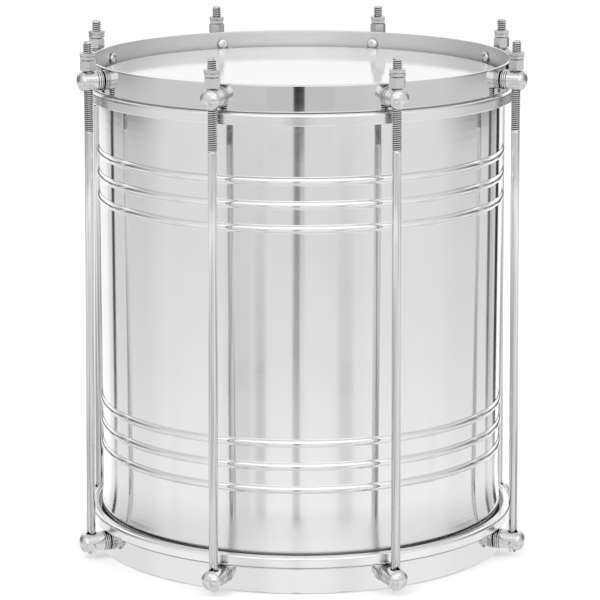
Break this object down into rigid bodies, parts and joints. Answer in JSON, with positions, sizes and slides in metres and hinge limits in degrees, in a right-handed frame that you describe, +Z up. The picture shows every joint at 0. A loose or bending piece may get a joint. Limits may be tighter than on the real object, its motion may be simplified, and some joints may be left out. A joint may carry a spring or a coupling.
{
  "type": "repinique",
  "caption": "Small two-headed samba drum with a beaded aluminium tube shell, chromed counter hoops, long tension rods on domed lug posts and milky plastic heads.",
  "frame": {"origin": "middle of the lower hoop's rim, on the surface that the drum stands on", "axes": "+Z up along the shell; -Y is the front, half way between two lug posts; +X to the right seen from the front"},
  "size_m": [0.2812, 0.2812, 0.327],
  "materials": {
    "polished_aluminium": "rolled sheet, polished, with faint drawing lines along the tube",
    "flesh_hoop_aluminium": "bright satin",
    "hoop_chrome": "chromed flat steel band",
    "boss_chrome": "chromed turned steel",
    "rod_steel": "bright zinc plated, drawn lengthways, rolled thread at the top",
    "nut_steel": "bright zinc plated, machined",
    "screw_steel": "bright zinc plated",
    "milky_film": "milky polyester film, smooth and glossy"
  },
  "bodies": {
    "drum": {"shell": "polished_aluminium", "bottom_hoop": "hoop_chrome", "top_flesh_hoop": "flesh_hoop_aluminium", "bottom_flesh_hoop": "flesh_hoop_aluminium", "top_head": "milky_film", "bottom_head": "milky_film", "rod_1": "rod_steel", "rod_2": "rod_steel", "rod_3": "rod_steel", "rod_4": "rod_steel", "rod_5": "rod_steel", "rod_6": "rod_steel", "rod_7": "rod_steel", "rod_8": "rod_steel", "bottom_boss_1": "boss_chrome", "bottom_boss_2": "boss_chrome", "bottom_boss_3": "boss_chrome", "bottom_boss_4": "boss_chrome", "bottom_boss_5": "boss_chrome", "bottom_boss_6": "boss_chrome", "bottom_boss_7": "boss_chrome", "bottom_boss_8": "boss_chrome"},
    "upper_hoop": {"top_hoop": "hoop_chrome", "top_boss_1": "boss_chrome", "top_boss_2": "boss_chrome", "top_boss_3": "boss_chrome", "top_boss_4": "boss_chrome", "top_boss_5": "boss_chrome", "top_boss_6": "boss_chrome", "top_boss_7": "boss_chrome", "top_boss_8": "boss_chrome", "hoop_screw_1": "screw_steel", "hoop_screw_2": "screw_steel", "hoop_screw_3": "screw_steel", "hoop_screw_4": "screw_steel", "hoop_screw_5": "screw_steel", "hoop_screw_6": "screw_steel", "hoop_screw_7": "screw_steel", "hoop_screw_8": "screw_steel"},
    "nut_1": {"tension_nut_1": "nut_steel", "lock_nut_1": "nut_steel"},
    "nut_2": {"tension_nut_2": "nut_steel", "lock_nut_2": "nut_steel"},
    "nut_3": {"tension_nut_3": "nut_steel", "lock_nut_3": "nut_steel"},
    "nut_4": {"tension_nut_4": "nut_steel", "lock_nut_4": "nut_steel"},
    "nut_5": {"tension_nut_5": "nut_steel", "lock_nut_5": "nut_steel"},
    "nut_6": {"tension_nut_6": "nut_steel", "lock_nut_6": "nut_steel"},
    "nut_7": {"tension_nut_7": "nut_steel", "lock_nut_7": "nut_steel"},
    "nut_8": {"tension_nut_8": "nut_steel", "lock_nut_8": "nut_steel"}
  },
  "joints": [
    {"name": "hoop_lift", "type": "slide", "parent": "drum", "child": "upper_hoop", "axis": [0, 0, 1], "range_m": [0, 0.006]},
    {"name": "nut_turn_1", "type": "hinge", "parent": "upper_hoop", "child": "nut_1", "pos_m": [-0.05415, -0.13073, 0.3145], "axis": [0, 0, 1], "range_deg": [0, 1702]},
    {"name": "nut_turn_2", "type": "hinge", "parent": "upper_hoop", "child": "nut_2", "pos_m": [0.05415, -0.13073, 0.3145], "axis": [0, 0, 1], "range_deg": [0, 1702]},
    {"name": "nut_turn_3", "type": "hinge", "parent": "upper_hoop", "child": "nut_3", "pos_m": [0.13073, -0.05415, 0.3145], "axis": [0, 0, 1], "range_deg": [0, 1702]},
    {"name": "nut_turn_4", "type": "hinge", "parent": "upper_hoop", "child": "nut_4", "pos_m": [0.13073, 0.05415, 0.3145], "axis": [0, 0, 1], "range_deg": [0, 1702]},
    {"name": "nut_turn_5", "type": "hinge", "parent": "upper_hoop", "child": "nut_5", "pos_m": [0.05415, 0.13073, 0.3145], "axis": [0, 0, 1], "range_deg": [0, 1702]},
    {"name": "nut_turn_6", "type": "hinge", "parent": "upper_hoop", "child": "nut_6", "pos_m": [-0.05415, 0.13073, 0.3145], "axis": [0, 0, 1], "range_deg": [0, 1702]},
    {"name": "nut_turn_7", "type": "hinge", "parent": "upper_hoop", "child": "nut_7", "pos_m": [-0.13073, 0.05415, 0.3145], "axis": [0, 0, 1], "range_deg": [0, 1702]},
    {"name": "nut_turn_8", "type": "hinge", "parent": "upper_hoop", "child": "nut_8", "pos_m": [-0.13073, -0.05415, 0.3145], "axis": [0, 0, 1], "range_deg": [0, 1702]}
  ],
  "couplings": [
    {"joint": "nut_turn_1", "follows": "hoop_lift", "rad_per_m": 4947.4},
    {"joint": "nut_turn_2", "follows": "hoop_lift", "rad_per_m": 4947.4},
    {"joint": "nut_turn_3", "follows": "hoop_lift", "rad_per_m": 4947.4},
    {"joint": "nut_turn_4", "follows": "hoop_lift", "rad_per_m": 4947.4},
    {"joint": "nut_turn_5", "follows": "hoop_lift", "rad_per_m": 4947.4},
    {"joint": "nut_turn_6", "follows": "hoop_lift", "rad_per_m": 4947.4},
    {"joint": "nut_turn_7", "follows": "hoop_lift", "rad_per_m": 4947.4},
    {"joint": "nut_turn_8", "follows": "hoop_lift", "rad_per_m": 4947.4}
  ]
}
